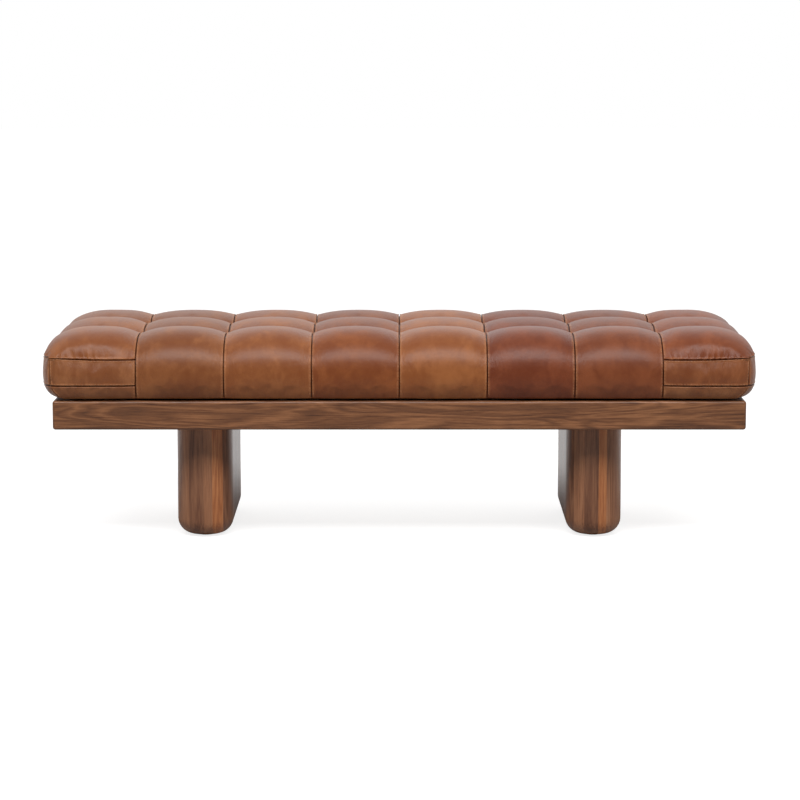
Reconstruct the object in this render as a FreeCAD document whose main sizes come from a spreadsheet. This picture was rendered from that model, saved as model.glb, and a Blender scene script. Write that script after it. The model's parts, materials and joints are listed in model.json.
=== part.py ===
import FreeCAD, Part
import Sketcher
import math
import os

from FreeCAD import Placement, Rotation, Vector

# Upholstered bench: a cushion of stuffed, seamed leather cells that lies loose on a wooden deck,
# and two slab legs glued up from staves.
# Millimetres. X runs along the length, Y from front to back, Z up.
# The origin is on the floor, under the middle of the bench.

sizes = {
    "deck_length": 1469,
    "deck_depth": 540,
    "deck_height": 62,
    "deck_round": 6,
    "rail_width": 45,
    "panel_thickness": 18,
    "panel_ledge": 12,
    "panel_gap": 0.5,
    "bearer_width": 110,
    "brace_width": 60,
    "leg_height": 243,
    "leg_thickness": 120,
    "leg_depth": 407,
    "leg_setback": 254.5,
    "leg_foot_round": 34,
    "glide_height": 3,
    "glide_radius": 19,
    "glide_spacing": 280,
    "glide_pin_radius": 2,
    "glide_pin_length": 12,
    "bore_gap": 0.15,
    "bolt_radius": 4,
    "bolt_head_radius": 6.5,
    "bolt_head_height": 8,
    "bolt_head_gap": 2.4,
    "bolt_grip": 21,
    "bolt_tip_gap": 6,
    "bolt_spacing": 130,
    "washer_radius": 10,
    "washer_thickness": 1.6,
    "insert_wall": 3,
    "insert_length": 25,
    "screw_radius": 1.75,
    "screw_head_radius": 3.5,
    "screw_head_height": 2.2,
    "screw_grip": 14,
    "screw_corner_run": 90,
    "bearer_screw_spacing": 120,
    "dowel_radius": 5,
    "dowel_grip": 25,
    "dowel_cover": 20,
    "dowel_edge": 15,
    "strip_length": 300,
    "strip_width": 50,
    "strip_thickness": 1.5,
    "strip_edge_inset": 100,
    "rest_gap": 0.3,
    "end_overhang": 27.5,
    "front_overhang": 17.5,
    "cushion_height": 146,
    "seam_drop": 20,
    "crossing_drop": 36,
    "corner_drop": 23,
    "side_draw": 8.5,
    "side_share": 0.35,
    "foot_tuck": 25,
    "shoulder_run": 50,
    "shoulder_share": 0.1,
    "end_bulge": 25,
    "end_cell_short": 5,
    "end_seam_height": 92,
    "end_face_low": 42,
    "end_face_high": 84,
    "end_face_inset": 52.5,
    "end_valley_share": 0.2,
    "middle_row_width": 185.5,
    "cell_power": 2.6,
    "leather_thickness": 2,
    "foam_edge_inset": 37.5,
    "foam_share": 0.5,
    "tie_radius": 1.25,
    "tie_disc_radius": 8,
    "tie_disc_height": 2,
    "fill_gap": 0.3,
}

level_tolerance = 0.01
columns = 8
cell_stations = (0, 0.18, 0.5, 0.82, 1)
cap_steps = 4

# The staves of each leg from left to right, in proportion to the boards they were ripped from.
stave_boards = {
    "left": (28, 32, 18, 22, 20),
    "right": (16, 22, 30, 17.5, 34.5),
}

doc = FreeCAD.newDocument("Bench")
sheet = doc.addObject("Spreadsheet::Sheet", "Sizes")
for row, (alias, value) in enumerate(sizes.items(), start=1):
    sheet.set(f"A{row}", str(value))
    sheet.setAlias(f"A{row}", alias)
doc.recompute()

subparts = []


def size(alias):
    return float(sheet.get(alias))


def bind(obj, links):
    for name, expression in links.items():
        obj.setExpression(name, expression)
    return obj


def place(obj, x="0", y="0", z="0"):
    links = {"Placement.Base.x": x, "Placement.Base.y": y, "Placement.Base.z": z}
    return bind(obj, links)


def keep(obj):
    subparts.append(obj)
    return obj


def named(kind, name):
    obj = doc.addObject(kind, name)
    obj.Label = name
    return obj


# Box with its middle at x, y and its underside at z.
def box(name, length, width, height, x="0", y="0", z="0"):
    obj = named("Part::Box", name)
    bind(obj, {"Length": length, "Width": width, "Height": height})
    return place(obj, f"({x}) - ({length}) / 2", f"({y}) - ({width}) / 2", z)


def cylinder(name, radius, height, x="0", y="0", z="0"):
    obj = named("Part::Cylinder", name)
    bind(obj, {"Radius": radius, "Height": height})
    return place(obj, x, y, z)


def cone(name, low_radius, high_radius, height, x="0", y="0", z="0"):
    obj = named("Part::Cone", name)
    bind(obj, {"Radius1": low_radius, "Radius2": high_radius, "Height": height})
    return place(obj, x, y, z)


def fuse(name, pieces):
    obj = named("Part::MultiFuse", name)
    obj.Shapes = pieces
    return obj


def group(name, pieces):
    obj = named("Part::Compound", name)
    obj.Links = pieces
    return obj


def cut(name, base, tool):
    obj = named("Part::Cut", name)
    obj.Base = base
    obj.Tool = tool
    return obj


def common(name, base, tool):
    obj = named("Part::Common", name)
    obj.Base = base
    obj.Tool = tool
    return obj


# Heights and places that several pieces share
deck_low = "(Sizes.glide_height + Sizes.leg_height)"
deck_top = f"({deck_low} + Sizes.deck_height)"
panel_low = f"({deck_top} - Sizes.panel_thickness)"
bearer_height = "(Sizes.deck_height - Sizes.panel_thickness)"
inner_length = "(Sizes.deck_length - 2 * Sizes.rail_width)"
inner_depth = "(Sizes.deck_depth - 2 * Sizes.rail_width)"
leg_centre = "(Sizes.deck_length / 2 - Sizes.leg_setback - Sizes.leg_thickness / 2)"
head_bore_depth = "(Sizes.bolt_head_height + Sizes.washer_thickness + Sizes.bolt_head_gap)"
washer_seat = f"({panel_low} - {head_bore_depth})"
bolt_seat = f"({washer_seat} + Sizes.washer_thickness)"
bolt_tip = f"({deck_low} - Sizes.bolt_grip)"
bolt_bore = "(Sizes.bolt_radius + Sizes.bore_gap)"
insert_radius = "(Sizes.bolt_radius + Sizes.insert_wall)"
sides = {"left": -1, "right": 1}


# Rectangle or stadium blank with its edges rounded, as a body of its own
def body_with_pad(name, height, low):
    body = named("PartDesign::Body", name)
    sketch = body.newObject("Sketcher::SketchObject", name + "_outline")
    plane = [item for item in body.Origin.OriginFeatures if item.Role == "XY_Plane"][0]
    sketch.AttachmentSupport = [(plane, "")]
    sketch.MapMode = "FlatFace"
    sketch.setExpression("AttachmentOffset.Base.z", low)
    pad = body.newObject("PartDesign::Pad", name + "_pad")
    pad.Profile = sketch
    pad.setExpression("Length", height)
    return body, sketch, pad


def round_edges(body, pad, name, radius, chosen):
    doc.recompute()
    edges = [f"Edge{i}" for i, edge in enumerate(pad.Shape.Edges, start=1) if chosen(edge)]
    fillet = body.newObject("PartDesign::Fillet", name)
    fillet.Base = (pad, edges)
    fillet.setExpression("Radius", radius)
    body.Tip = fillet


# Deck frame: one rounded blank, hollowed and rebated, then mitred into four rails

def deck_blank():
    body, sketch, pad = body_with_pad("deck_blank", "Sizes.deck_height", deck_low)
    x = size("deck_length") / 2
    y = size("deck_depth") / 2
    corners = [Vector(-x, -y), Vector(x, -y), Vector(x, y), Vector(-x, y)]
    for i in range(4):
        sketch.addGeometry(Part.LineSegment(corners[i], corners[(i + 1) % 4]))
    for i in range(4):
        sketch.addConstraint(Sketcher.Constraint("Coincident", i, 2, (i + 1) % 4, 1))
    for i in (0, 2):
        sketch.addConstraint(Sketcher.Constraint("Horizontal", i))
        sketch.addConstraint(Sketcher.Constraint("Vertical", i + 1))
    sketch.addConstraint(Sketcher.Constraint("Symmetric", 0, 1, 1, 2, -1, 1))
    length = sketch.addConstraint(Sketcher.Constraint("DistanceX", 0, 1, 0, 2, 2 * x))
    depth = sketch.addConstraint(Sketcher.Constraint("DistanceY", 1, 1, 1, 2, 2 * y))
    sketch.setExpression(f"Constraints[{length}]", "Sizes.deck_length")
    sketch.setExpression(f"Constraints[{depth}]", "Sizes.deck_depth")
    round_edges(body, pad, "deck_blank_round", "Sizes.deck_round", lambda edge: True)
    return body


# Mitre wedge: full deck length at the outer edge, shorter by the rail width at the inner edge
def mitre_wedge(name, side):
    obj = named("Part::Wedge", name)
    outer = {"min": "-Sizes.deck_length / 2", "max": "Sizes.deck_length / 2"}
    inner = {"min": f"-{inner_length} / 2", "max": f"{inner_length} / 2"}
    near = outer if side < 0 else inner
    far = inner if side < 0 else outer
    low = "-Sizes.deck_depth / 2" if side < 0 else f"{inner_depth} / 2"
    links = {
        "Xmin": near["min"],
        "Xmax": near["max"],
        "X2min": far["min"],
        "X2max": far["max"],
        "Ymin": low,
        "Ymax": f"{low} + Sizes.rail_width",
        "Zmin": deck_low,
        "Zmax": deck_top,
        "Z2min": deck_low,
        "Z2max": deck_top,
    }
    return bind(obj, links)


def deck_frame(blank, bores):
    ledge_length = f"({inner_length} + 2 * Sizes.panel_ledge)"
    ledge_depth = f"({inner_depth} + 2 * Sizes.panel_ledge)"
    hollow = box("frame_hollow", inner_length, inner_depth, "Sizes.deck_height", z=deck_low)
    rebate = box("frame_rebate", ledge_length, ledge_depth, "Sizes.panel_thickness", z=panel_low)
    ring = cut("frame_ring", blank, group("frame_waste", [hollow, rebate]))
    ring = cut("frame_bored", ring, bores)
    wedges = {
        "front_rail": mitre_wedge("front_wedge", -1),
        "back_rail": mitre_wedge("back_wedge", 1),
    }
    for name, wedge in wedges.items():
        keep(common(name, ring, wedge))
    ends = cut("end_rails", ring, group("long_rail_wedges", list(wedges.values())))
    half = "Sizes.deck_length / 2"
    for side, sign in sides.items():
        middle = f"{sign} * {half} / 2"
        half_box = box(f"{side}_half", half, "Sizes.deck_depth", "Sizes.deck_height", middle, z=deck_low)
        keep(common(f"{side}_end_rail", ends, half_box))


# Countersunk screws that hold the deck panel down on the rails, the bearers and the brace

def deck_screw_places():
    ledge_row = f"({inner_depth} / 2 + Sizes.panel_ledge / 2)"
    outer = f"({inner_length} / 2 - Sizes.screw_corner_run)"
    inner = f"({leg_centre} / 2)"
    places = []
    for row in (-1, 1):
        for column in (-1, 1):
            places.append((f"{column} * {outer}", f"{row} * {ledge_row}"))
            places.append((f"{column} * {inner}", f"{row} * {ledge_row}"))
        for column in (-1, 0, 1):
            places.append((f"{column} * {leg_centre}", f"{row} * Sizes.bearer_screw_spacing / 2"))
    return places


def deck_screws(places):
    tip = f"({panel_low} - Sizes.screw_grip)"
    head_low = f"({deck_top} - Sizes.screw_head_height)"
    screws = []
    bores = []
    for i, (x, y) in enumerate(places, start=1):
        shank = cylinder(f"screw_shank_{i}", "Sizes.screw_radius", f"{head_low} - {tip}", x, y, tip)
        head = cone(f"screw_head_{i}", "Sizes.screw_radius", "Sizes.screw_head_radius",
                    "Sizes.screw_head_height", x, y, head_low)
        screws.append(fuse(f"screw_{i}", [shank, head]))
        wide = "Sizes.screw_radius + Sizes.bore_gap"
        wide_head = "Sizes.screw_head_radius + Sizes.bore_gap"
        bore = cylinder(f"screw_bore_{i}", wide, f"{deck_top} - {tip}", x, y, tip)
        sink = cone(f"screw_sink_{i}", wide, wide_head, "Sizes.screw_head_height", x, y, head_low)
        bores.append(fuse(f"screw_hole_{i}", [bore, sink]))
    keep(group("deck_screws", screws))
    return group("screw_holes", bores)


# Dowels lie along Y, half in a rail and half in the end of a bearer or the brace

def rail_dowels():
    rail_part = "(Sizes.rail_width - Sizes.dowel_cover)"
    length = f"({rail_part} + Sizes.dowel_grip)"
    height = f"({deck_low} + {bearer_height} / 2)"
    bearer_step = "(Sizes.bearer_width / 2 - Sizes.dowel_edge)"
    brace_step = "(Sizes.brace_width / 2 - Sizes.dowel_edge)"
    places = []
    for step in (-1, 1):
        places += [f"{sign} * {leg_centre} + {step} * {bearer_step}" for sign in sides.values()]
        places.append(f"{step} * {brace_step}")
    starts = {
        "front": f"-{inner_depth} / 2 - {rail_part}",
        "back": f"{inner_depth} / 2 - Sizes.dowel_grip",
    }
    dowels = []
    bores = []
    for i, x in enumerate(places, start=1):
        for end, start in starts.items():
            dowel = cylinder(f"dowel_{end}_{i}", "Sizes.dowel_radius", length)
            bore = cylinder(f"dowel_bore_{end}_{i}", "Sizes.dowel_radius + Sizes.bore_gap", length)
            for obj in (dowel, bore):
                obj.Placement = Placement(Vector(), Rotation(Vector(1, 0, 0), -90))
                place(obj, x, start, height)
            dowels.append(dowel)
            bores.append(bore)
    keep(group("rail_dowels", dowels))
    return group("dowel_bores", bores)


# Leg bolts come down through each bearer and washer into an insert in the top of the leg

def bolt_places():
    rows = (-1, 0, 1)
    centres = [f"{sign} * {leg_centre}" for sign in sides.values()]
    return [(x, f"{row} * Sizes.bolt_spacing") for x in centres for row in rows]


def leg_bolts():
    bolts = []
    washers = []
    inserts = []
    bores = []
    insert_low = f"({deck_low} - Sizes.insert_length)"
    run_low = f"({bolt_tip} - Sizes.bolt_tip_gap)"
    shank_length = f"{bolt_seat} - {bolt_tip}"
    head_height = "Sizes.bolt_head_height"
    washer_height = "Sizes.washer_thickness"
    for i, (x, y) in enumerate(bolt_places(), start=1):
        shank = cylinder(f"bolt_shank_{i}", "Sizes.bolt_radius", shank_length, x, y, bolt_tip)
        head = cylinder(f"bolt_head_{i}", "Sizes.bolt_head_radius", head_height, x, y, bolt_seat)
        bolts.append(fuse(f"bolt_{i}", [shank, head]))
        disc = cylinder(f"washer_disc_{i}", "Sizes.washer_radius", washer_height, x, y, washer_seat)
        eye = cylinder(f"washer_eye_{i}", bolt_bore, washer_height, x, y, washer_seat)
        washers.append(cut(f"washer_{i}", disc, eye))
        barrel = cylinder(f"insert_barrel_{i}", insert_radius, "Sizes.insert_length", x, y, insert_low)
        thread = cylinder(f"insert_thread_{i}", bolt_bore, "Sizes.insert_length", x, y, insert_low)
        inserts.append(cut(f"insert_{i}", barrel, thread))
        wide_head = "Sizes.washer_radius + Sizes.bore_gap"
        wide_insert = f"{insert_radius} + Sizes.bore_gap"
        run = cylinder(f"bolt_run_{i}", bolt_bore, f"{panel_low} - {run_low}", x, y, run_low)
        sink = cylinder(f"bolt_sink_{i}", wide_head, head_bore_depth, x, y, washer_seat)
        seat = cylinder(f"insert_seat_{i}", wide_insert, "Sizes.insert_length", x, y, insert_low)
        bores.append(fuse(f"bolt_hole_{i}", [run, sink, seat]))
    keep(group("leg_bolts", bolts))
    keep(group("leg_washers", washers))
    keep(group("leg_inserts", inserts))
    return group("bolt_holes", bores)


def deck_panel(screw_holes):
    width = f"{inner_length} + 2 * Sizes.panel_ledge - 2 * Sizes.panel_gap"
    depth = f"{inner_depth} + 2 * Sizes.panel_ledge - 2 * Sizes.panel_gap"
    board = box("panel_board", width, depth, "Sizes.panel_thickness", z=panel_low)
    keep(cut("deck_panel", board, screw_holes))


def bearers_and_brace(bores):
    for side, sign in sides.items():
        board = box(f"{side}_bearer_board", "Sizes.bearer_width", inner_depth, bearer_height,
                    f"{sign} * {leg_centre}", z=deck_low)
        keep(cut(f"{side}_bearer", board, bores))
    board = box("centre_brace_board", "Sizes.brace_width", inner_depth, bearer_height, z=deck_low)
    keep(cut("centre_brace", board, bores))


# Floor glides: a disc with a pin that is driven up into the foot of a leg

def floor_glides():
    glides = []
    bores = []
    pin_top = "(Sizes.glide_height + Sizes.glide_pin_length)"
    for side, sign in sides.items():
        for end, row in {"front": -1, "back": 1}.items():
            x = f"{sign} * {leg_centre}"
            y = f"{row} * Sizes.glide_spacing / 2"
            disc = cylinder(f"glide_disc_{side}_{end}", "Sizes.glide_radius", "Sizes.glide_height", x, y)
            pin = cylinder(f"glide_pin_{side}_{end}", "Sizes.glide_pin_radius", pin_top, x, y)
            glides.append(fuse(f"glide_{side}_{end}", [disc, pin]))
            wide = "Sizes.glide_pin_radius + Sizes.bore_gap"
            bores.append(cylinder(f"glide_bore_{side}_{end}", wide, f"{pin_top} + Sizes.bore_gap", x, y))
    keep(group("floor_glides", glides))
    return group("glide_bores", bores)


# Leg blank: a stadium in plan, straight sides and half-round ends, with a rounded foot

def leg_blank(side, sign):
    body, sketch, pad = body_with_pad(f"{side}_leg_blank", "Sizes.leg_height", "Sizes.glide_height")
    radius = size("leg_thickness") / 2
    reach = size("leg_depth") / 2 - radius
    right = Part.LineSegment(Vector(radius, -reach), Vector(radius, reach))
    left = Part.LineSegment(Vector(-radius, reach), Vector(-radius, -reach))
    back = Part.ArcOfCircle(Part.Circle(Vector(0, reach), Vector(0, 0, 1), radius), 0, math.pi)
    front = Part.ArcOfCircle(Part.Circle(Vector(0, -reach), Vector(0, 0, 1), radius), math.pi, 2 * math.pi)
    for curve in (right, back, left, front):
        sketch.addGeometry(curve)
    for i in range(4):
        sketch.addConstraint(Sketcher.Constraint("Tangent", i, 2, (i + 1) % 4, 1))
    sketch.addConstraint(Sketcher.Constraint("Vertical", 0))
    sketch.addConstraint(Sketcher.Constraint("PointOnObject", 1, 3, -2))
    sketch.addConstraint(Sketcher.Constraint("Symmetric", 1, 3, 3, 3, -1, 1))
    end_radius = sketch.addConstraint(Sketcher.Constraint("Radius", 1, radius))
    spacing = sketch.addConstraint(Sketcher.Constraint("DistanceY", 3, 3, 1, 3, 2 * reach))
    sketch.setExpression(f"Constraints[{end_radius}]", "Sizes.leg_thickness / 2")
    sketch.setExpression(f"Constraints[{spacing}]", "Sizes.leg_depth - Sizes.leg_thickness")
    foot = size("glide_height")
    round_edges(body, pad, f"{side}_leg_foot", "Sizes.leg_foot_round",
                lambda edge: abs(edge.BoundBox.ZMax - foot) < level_tolerance)
    return place(body, f"{sign} * {leg_centre}")


def leg_staves(blanks, bores):
    for side, sign in sides.items():
        bored = cut(f"{side}_leg_bored", blanks[side], bores)
        boards = stave_boards[side]
        whole = sum(boards)
        start = 0
        for i, board in enumerate(boards, start=1):
            width = f"Sizes.leg_thickness * {board / whole}"
            middle = f"{sign} * {leg_centre} + Sizes.leg_thickness * {(start + board / 2) / whole - 0.5}"
            slab = box(f"{side}_stave_board_{i}", width, "Sizes.leg_depth", "Sizes.leg_height",
                       middle, z="Sizes.glide_height")
            keep(common(f"{side}_leg_stave_{i}", bored, slab))
            start += board


# Hook tape on the deck and loop tape under the cushion, one above the other

def tapes(name, low):
    tape_row = "(Sizes.deck_depth / 2 - Sizes.strip_edge_inset)"
    tapes = []
    for sign in sides.values():
        for row in (-1, 1):
            tapes.append(box(f"{name}_{len(tapes) + 1}", "Sizes.strip_length", "Sizes.strip_width",
                             "Sizes.strip_thickness", f"{sign} * {leg_centre}", f"{row} * {tape_row}", low))
    keep(group(name, tapes))


# Cushion sizes in plain millimetres, worked out from the sheet
class Cushion:
    deck_top = size("glide_height") + size("leg_height") + size("deck_height")
    tape_top = deck_top + 2 * size("strip_thickness") + size("rest_gap")
    base = tape_top + size("leather_thickness")
    crest = deck_top + size("cushion_height")
    half_length = size("deck_length") / 2 + size("end_overhang")
    half_depth = size("deck_depth") / 2 + size("front_overhang")
    corner = half_length - size("end_bulge")
    pitch = (corner + size("end_cell_short")) / (columns / 2)
    last_seam = pitch * (columns / 2 - 1)
    row = size("middle_row_width") / 2
    foot = half_depth - size("foot_tuck")
    end_seam = deck_top + size("end_seam_height")
    skin = size("leather_thickness")
    slack = size("fill_gap")


def arc_over(start, end, rise):
    middle = (start + end) / 2
    chord = end - start
    normal = Vector(0, -chord.z, chord.y).normalize()
    if normal.z < 0:
        normal = -normal
    return Part.Arc(start, middle + normal * rise, end).toShape()


# Arc between a point at the widest place and another point, upright at the widest place
def upright_arc(start, end, widest):
    chord = end - start
    lean = math.atan2(abs(chord.y), abs(chord.z))
    rise = chord.Length / 2 * math.tan(lean / 2)
    normal = Vector(0, -chord.z, chord.y).normalize()
    if normal.y * widest.y < 0:
        normal = -normal
    return Part.Arc(start, (start + end) / 2 + normal * rise, end).toShape()


# Cross section of the cushion at x: drawn-in sides, round shoulders and three crowned rows
def section(x, crest, dip, side, foot, base):
    height = crest - base
    foot_point = Vector(x, -foot, base)
    side_point = Vector(x, -side, base + size("side_share") * height)
    shoulder_drop = size("shoulder_share") * height
    shoulder = Vector(x, -(side - size("shoulder_run")), crest - shoulder_drop)
    seam = Vector(x, -Cushion.row, dip)

    def back(point):
        return Vector(point.x, -point.y, point.z)

    edges = [
        upright_arc(foot_point, side_point, side_point),
        upright_arc(side_point, shoulder, side_point),
        arc_over(shoulder, seam, (shoulder_drop + crest - dip) / 2),
        arc_over(seam, back(seam), crest - dip),
        arc_over(back(seam), back(shoulder), (shoulder_drop + crest - dip) / 2),
        upright_arc(back(shoulder), back(side_point), back(side_point)),
        upright_arc(back(side_point), back(foot_point), back(side_point)),
        Part.LineSegment(back(foot_point), foot_point).toShape(),
    ]
    return Part.Wire(edges)


# How full a cell is at a share of its width: 0 on a seam and 1 in the middle
def fullness(share):
    return 1 - abs(2 * share - 1) ** size("cell_power")


def cell_section(x, share, inset, low, drop=None):
    empty = 1 - fullness(share)
    drop = size("seam_drop") if drop is None else drop
    seam_dip = size("crossing_drop") - size("seam_drop")
    crest = Cushion.crest - drop * empty - inset
    dip = Cushion.crest - size("seam_drop") - seam_dip * empty - inset
    side = Cushion.half_depth - size("side_draw") * empty - inset
    return section(x, crest, dip, side, Cushion.foot - inset, low)


def column_middle(i):
    return (i - (columns + 1) / 2) * Cushion.pitch


# One middle column between two seams, with its middle at x = 0
def middle_column(inset, low):
    wires = [cell_section((share - 0.5) * Cushion.pitch, share, inset, low) for share in cell_stations]
    return Part.makeLoft(wires, True, False)


# The last column on the right, from its seam to the corner seam
def end_column(inset, low):
    wires = []
    for share in cell_stations:
        x = Cushion.last_seam + share * (Cushion.corner - Cushion.last_seam)
        drop = size("corner_drop") if share > 0.5 else size("seam_drop")
        wires.append(cell_section(x, share, inset, low, drop))
    return Part.makeLoft(wires, True, False)


# The puffed end beyond the corner seam, shrinking along a quarter ellipse to a flat end face
def end_cap(inset, low):
    crest = Cushion.crest - size("corner_drop") - inset
    valley = size("crossing_drop") - size("corner_drop")
    valley_share = size("end_valley_share")
    face_crest = Cushion.deck_top + size("end_face_high") - inset
    face_base = Cushion.deck_top + size("end_face_low") + inset
    side = Cushion.half_depth - size("side_draw") - inset
    face_side = Cushion.half_depth - size("end_face_inset") - inset
    foot = Cushion.foot - inset
    face_foot = face_side - size("foot_tuck") / 2
    wires = []
    for step in range(cap_steps):
        turn = math.pi / 2 * step / (cap_steps - 1)
        near = math.cos(turn)
        x = Cushion.corner + (size("end_bulge") - inset) * math.sin(turn)
        top = face_crest + (crest - face_crest) * near
        dip = top - valley * (valley_share + (1 - valley_share) * near)
        wires.append(section(x, top, dip, face_side + (side - face_side) * near,
                             face_foot + (foot - face_foot) * near, face_base + (low - face_base) * near))
    return Part.makeLoft(wires, True, False)


def region(x_low, x_high, y_low, y_high, z_low, z_high):
    corner = Vector(x_low, y_low, z_low)
    return Part.makeBox(x_high - x_low, y_high - y_low, z_high - z_low, corner)


def mirrored(shape):
    return shape.mirror(Vector(), Vector(1, 0, 0))


def feature(name, shape, x=0):
    obj = named("Part::Feature", name)
    solids = shape.Solids
    obj.Shape = solids[0] if len(solids) == 1 else Part.makeCompound(solids)
    obj.Placement = Placement(Vector(x, 0, 0), Rotation())
    return keep(obj)


# Leather cells: three rows in each column, and boxing below the top seam at both ends
def leather_panels():
    far = 2 * Cushion.half_length
    rows = {
        "front": (-far, -Cushion.row),
        "middle": (-Cushion.row, Cushion.row),
        "back": (Cushion.row, far),
    }
    middle = middle_column(0, Cushion.base).cut(middle_column(Cushion.skin, Cushion.base))
    end = end_column(0, Cushion.base).cut(end_column(Cushion.skin, Cushion.base))
    cap = end_cap(0, Cushion.base).cut(end_cap(Cushion.skin, Cushion.base + Cushion.skin))
    end_top = end.common(region(0, far, -far, far, Cushion.end_seam, far))
    cap_top = cap.common(region(0, far, -far, far, Cushion.end_seam, far))
    for row, (y_low, y_high) in rows.items():
        strip = region(-far, far, y_low, y_high, 0, far)
        cell = middle.common(strip)
        end_cell = end_top.common(strip).fuse(cap_top.common(strip)).removeSplitter()
        feature(f"{row}_cell_1", mirrored(end_cell))
        for i in range(2, columns):
            feature(f"{row}_cell_{i}", cell, column_middle(i))
        feature(f"{row}_cell_{columns}", end_cell)
    end_low = end.common(region(0, far, -far, far, 0, Cushion.end_seam))
    end_panel = cap.common(region(0, far, -far, far, 0, Cushion.end_seam))
    for face, (y_low, y_high) in {"front": (-far, 0), "back": (0, far)}.items():
        boxing = end_low.common(region(0, far, y_low, y_high, 0, far))
        feature(f"{face}_left_boxing", mirrored(boxing))
        feature(f"{face}_right_boxing", boxing)
    feature("left_end_panel", mirrored(end_panel))
    feature("right_end_panel", end_panel)


def bottom_panel():
    x = Cushion.corner
    y = Cushion.foot
    feature("bottom_panel", region(-x, x, -y, y, Cushion.tape_top, Cushion.base))


# Ties pull each seam crossing down to a disc on the bottom panel
def tie(x, y, gap, top):
    low = Vector(x, y, Cushion.base)
    disc = Part.makeCylinder(size("tie_disc_radius") + gap, size("tie_disc_height") + gap, low)
    cord = Part.makeCylinder(size("tie_radius") + gap, top - Cushion.base, low)
    return disc.fuse(cord)


def cushion_filling():
    inset = Cushion.skin + Cushion.slack
    low = Cushion.base + Cushion.slack
    crossing = Cushion.crest - size("crossing_drop") - inset
    half_columns = columns // 2
    places = [(i * Cushion.pitch, y) for i in range(1 - half_columns, half_columns)
              for y in (-Cushion.row, Cushion.row)]
    ties = [tie(x, y, 0, crossing) for x, y in places]
    bores = [tie(x, y, Cushion.slack, crossing + Cushion.skin) for x, y in places]
    foam_x = Cushion.half_length - size("end_bulge") - size("foam_edge_inset") / 2
    foam_y = Cushion.half_depth - size("foam_edge_inset")
    foam_top = low + size("foam_share") * (crossing - low)
    foam = region(-foam_x, foam_x, -foam_y, foam_y, low, foam_top)
    end = end_column(inset, low).fuse(end_cap(inset, low + Cushion.skin))
    middle = middle_column(inset, low)
    cells = [middle.translated(Vector(column_middle(i), 0, 0)) for i in range(2, columns)]
    fill = mirrored(end).fuse(cells + [end])
    feature("foam_core", foam.cut(bores))
    feature("fibre_fill", fill.cut([foam] + bores))
    feature("tuft_ties", Part.makeCompound(ties))


deck_body = deck_blank()
leg_bodies = {side: leg_blank(side, sign) for side, sign in sides.items()}
screw_holes = deck_screws(deck_screw_places())
dowel_bores = rail_dowels()
bolt_holes = leg_bolts()
glide_bores = floor_glides()
deck_frame(deck_body, group("rail_bores", [screw_holes, dowel_bores]))
deck_panel(screw_holes)
bearers_and_brace(group("bearer_bores", [screw_holes, dowel_bores, bolt_holes]))
leg_staves(leg_bodies, group("leg_bores", [bolt_holes, glide_bores]))
tapes("hook_tapes", deck_top)
tapes("loop_tapes", f"{deck_top} + Sizes.strip_thickness + Sizes.rest_gap")
leather_panels()
bottom_panel()
cushion_filling()
doc.recompute()

for obj in doc.Objects:
    if "Invalid" in obj.State or "Error" in obj.State:
        raise RuntimeError(f"{obj.Label} failed: {obj.State}")
for obj in subparts:
    if obj.Shape.isNull() or not obj.Shape.isValid() or not obj.Shape.Solids:
        raise RuntimeError(f"{obj.Label} has no valid solid")

os.makedirs("parts", exist_ok=True)
for obj in subparts:
    obj.Shape.exportStep(f"parts/{obj.Label}.step")
print(len(subparts), "sub-parts,", sum(len(obj.Shape.Solids) for obj in subparts), "solids")
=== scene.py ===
import bpy, bmesh, json, math
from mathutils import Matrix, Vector, noise
from mathutils.bvhtree import BVHTree


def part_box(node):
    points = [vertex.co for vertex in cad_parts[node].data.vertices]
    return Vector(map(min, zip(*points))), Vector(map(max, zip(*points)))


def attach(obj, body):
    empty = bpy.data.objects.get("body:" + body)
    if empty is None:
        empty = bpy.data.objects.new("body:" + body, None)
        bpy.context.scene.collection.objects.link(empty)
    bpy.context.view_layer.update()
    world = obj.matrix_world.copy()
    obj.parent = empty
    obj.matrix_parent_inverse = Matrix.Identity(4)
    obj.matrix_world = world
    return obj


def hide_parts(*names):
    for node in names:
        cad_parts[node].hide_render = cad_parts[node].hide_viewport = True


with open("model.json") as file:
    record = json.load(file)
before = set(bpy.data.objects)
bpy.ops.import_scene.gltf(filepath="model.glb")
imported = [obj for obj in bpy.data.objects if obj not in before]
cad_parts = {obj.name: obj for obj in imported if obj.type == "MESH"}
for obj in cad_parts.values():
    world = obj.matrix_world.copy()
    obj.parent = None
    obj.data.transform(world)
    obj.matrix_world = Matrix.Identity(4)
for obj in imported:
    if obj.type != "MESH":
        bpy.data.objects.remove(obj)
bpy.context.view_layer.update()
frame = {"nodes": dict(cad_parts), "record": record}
scene = bpy.context.scene
print("frame loaded", len(frame["nodes"]), "nodes")

# camera: level sides, looking a little down on the long front
cameraSet = {"place": (0.0014, -6.196, 1.14), "tilt": 7.97, "lens": 127.35, "sensor": 36}
cameraData = bpy.data.cameras.new("camera")
cameraData.lens = cameraSet["lens"]
cameraData.sensor_width = cameraSet["sensor"]
camera = bpy.data.objects.new("camera", cameraData)
camera.location = cameraSet["place"]
camera.rotation_euler = (math.radians(90 - cameraSet["tilt"]), 0, 0)
scene.collection.objects.link(camera)
scene.camera = camera
scene.view_settings.view_transform = "Standard"


# small helpers
def linear(red, green, blue):
    def one(value):
        value = value / 255
        return value / 12.92 if value <= 0.04045 else ((value + 0.055) / 1.055) ** 2.4
    return (one(red), one(green), one(blue), 1)


def smooth(low, high, value):
    t = min(1, max(0, (value - low) / (high - low)))
    return t * t * (3 - 2 * t)


def mix(a, b, t):
    return a + (b - a) * t


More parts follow.
